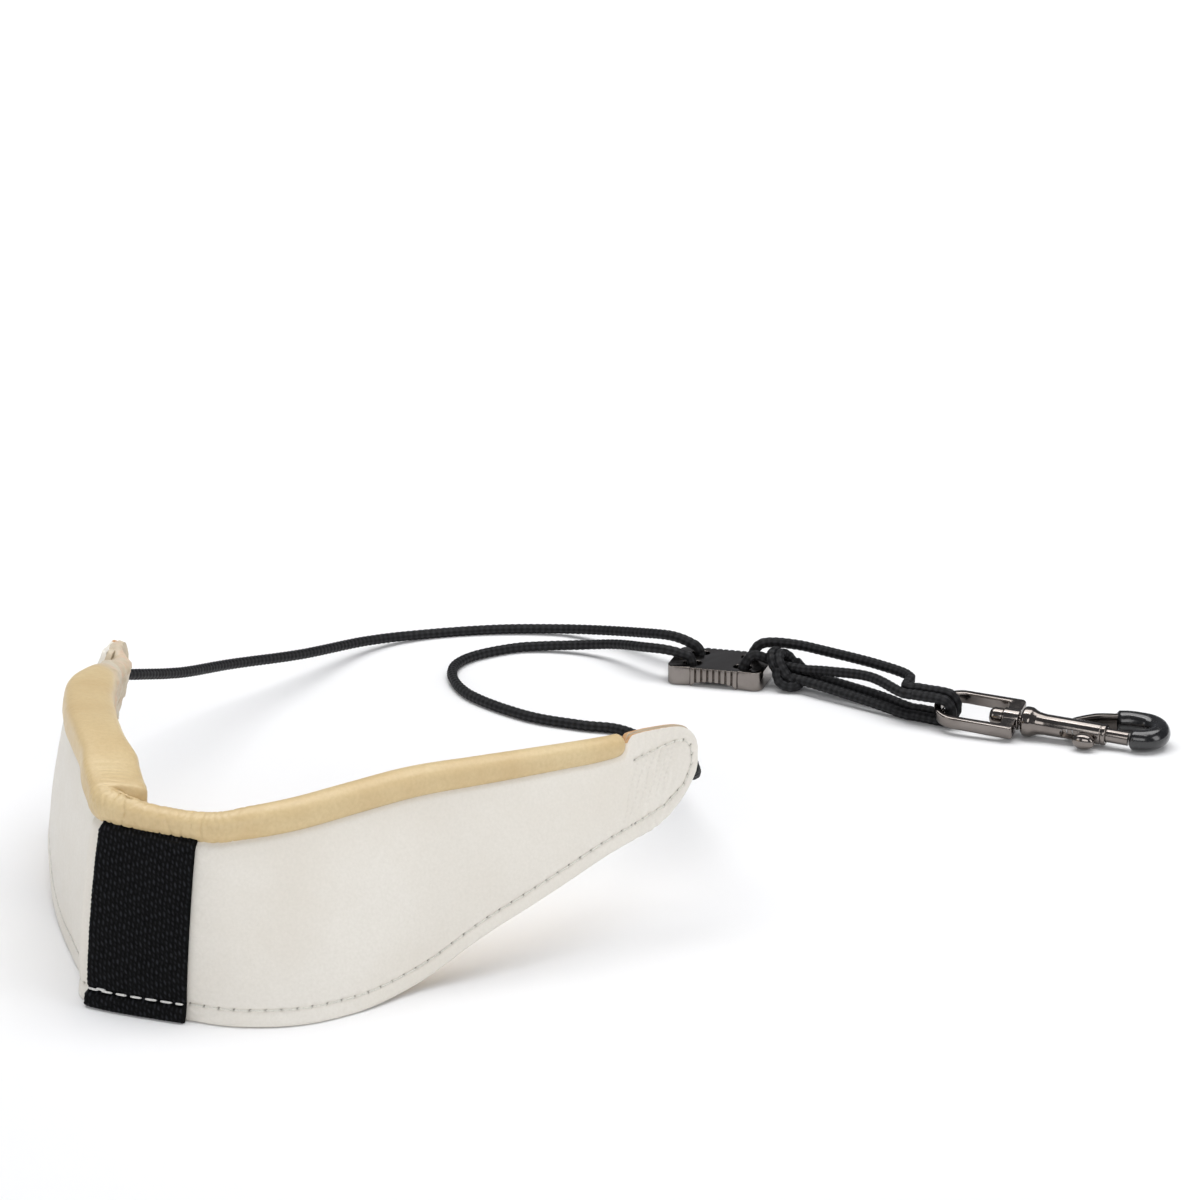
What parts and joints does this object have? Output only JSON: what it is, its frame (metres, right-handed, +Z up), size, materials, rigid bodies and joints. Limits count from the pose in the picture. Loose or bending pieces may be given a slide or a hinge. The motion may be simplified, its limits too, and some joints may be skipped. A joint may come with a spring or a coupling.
{
  "type": "saxophone neck strap",
  "caption": "Padded leather neck yoke on two cords with a slide adjuster and a swivelling spring snap hook, laid down as on a table",
  "frame": {"origin": "middle of the flat folded foot of the back label, on the table", "axes": "+Z up from the table, +X from the pad towards the hook, +Y from the back of the neck towards the cords"},
  "size_m": [0.2944, 0.2903, 0.0514],
  "materials": {
    "white_leather": "smooth off-white leather, fine grain, light sheen",
    "tan_lambskin": "soft tan lambskin with fine wrinkles",
    "grey_foam": "closed-cell foam, hidden",
    "black_webbing": "coarse black webbing",
    "black_cord": "round braided black cord",
    "gunmetal": "polished black nickel",
    "black_vinyl": "dipped glossy vinyl",
    "spring_steel": "bright spring wire, hidden"
  },
  "bodies": {
    "pad_right": {"outer_leather_right": "white_leather", "foam_pad_right": "grey_foam", "lining_right": "tan_lambskin", "tip_backing_right": "white_leather", "back_label": "black_webbing", "right_cord_run": "black_cord", "left_cord_run": "black_cord"},
    "pad_left": {"outer_leather_left": "white_leather", "foam_pad_left": "grey_foam", "lining_left": "tan_lambskin", "tip_backing_left": "white_leather"},
    "adjuster": {"adjuster_plate": "gunmetal", "right_cord_weave": "black_cord", "left_cord_weave": "black_cord"},
    "drop": {"left_strand_out": "black_cord", "left_strand_back": "black_cord", "right_strand_out": "black_cord", "right_strand_back": "black_cord", "strand_knot": "black_cord"},
    "tether": {"left_bail_loop": "black_cord", "right_bail_loop": "black_cord"},
    "bail": {"bail": "gunmetal"},
    "hook": {"swivel_rivet": "gunmetal", "hook_body": "gunmetal", "hook_cover": "black_vinyl", "trigger_spring": "spring_steel"},
    "trigger": {"trigger_bolt": "gunmetal", "thumb_stud": "gunmetal"}
  },
  "joints": [
    {"name": "pad_fold", "type": "hinge", "parent": "pad_right", "child": "pad_left", "pos_m": [-0.01075, 0.01141, 0.02], "axis": [0, 0, 1], "range_deg": [-25, 20], "deforming": ["left_cord_run"]},
    {"name": "adjuster_slide", "type": "slide", "parent": "pad_right", "child": "adjuster", "axis": [0.9613, -0.2756, 0], "range_m": [-0.016, 0.03], "deforming": ["right_cord_run"]},
    {"name": "drop_swing", "type": "hinge", "parent": "adjuster", "child": "drop", "pos_m": [0.15166, 0.23483, 0.0002], "axis": [0, 0, 1], "range_deg": [-10, 46]},
    {"name": "drop_feed", "type": "slide", "parent": "drop", "child": "tether", "axis": [0.776, -0.6307, 0], "range_m": [-0.015, 0.008], "deforming": ["left_strand_out", "left_strand_back", "right_strand_out", "right_strand_back"]},
    {"name": "bail_swing", "type": "hinge", "parent": "tether", "child": "bail", "pos_m": [0.19746, 0.19695, 0.00558], "axis": [0, 0, 1], "range_deg": [-25, 25], "deforming": ["left_bail_loop", "right_bail_loop"]},
    {"name": "hook_swivel", "type": "hinge", "parent": "bail", "child": "hook", "pos_m": [0.21985, 0.18731, 0.0046], "axis": [0.9177, -0.3952, -0.0401], "continuous": true},
    {"name": "trigger_slide", "type": "slide", "parent": "hook", "child": "trigger", "axis": [-0.9177, 0.3952, 0.0401], "range_m": [0, 0.006], "stiffness_N_per_m": 250, "springref_m": -0.003, "deforming": ["trigger_spring"]}
  ],
  "couplings": [
    {"joint": "drop_feed", "follows": "adjuster_slide", "ratio": -0.5}
  ]
}
